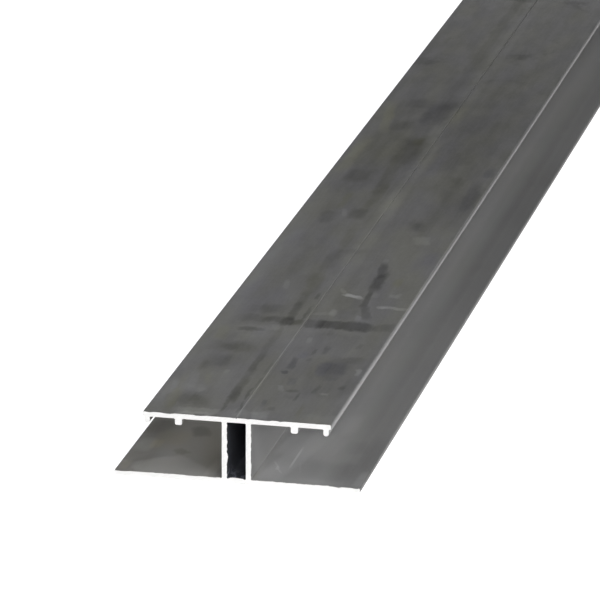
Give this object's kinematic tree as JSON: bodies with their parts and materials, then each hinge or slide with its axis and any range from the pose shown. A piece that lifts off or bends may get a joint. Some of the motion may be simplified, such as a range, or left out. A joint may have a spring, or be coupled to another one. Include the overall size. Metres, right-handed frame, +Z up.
{
  "type": "aluminium extrusion profile",
  "caption": "Straight mill-finish aluminium H-section bar with a wide base flange, a narrower ribbed top flange and a hollow web, for joining sheets edge to edge.",
  "frame": {"origin": "centre of the underside of the base flange, half way along the bar", "axes": "+X across the section, +Y along the bar away from the pictured sawn end, +Z up from the wide base flange to the narrower top flange"},
  "size_m": [0.08, 1, 0.022],
  "materials": {
    "mill_aluminium": "dull mill finish with fine lines along the bar, bright on the sawn ends"
  },
  "bodies": {
    "root": {"h_profile": "mill_aluminium"}
  },
  "joints": []
}
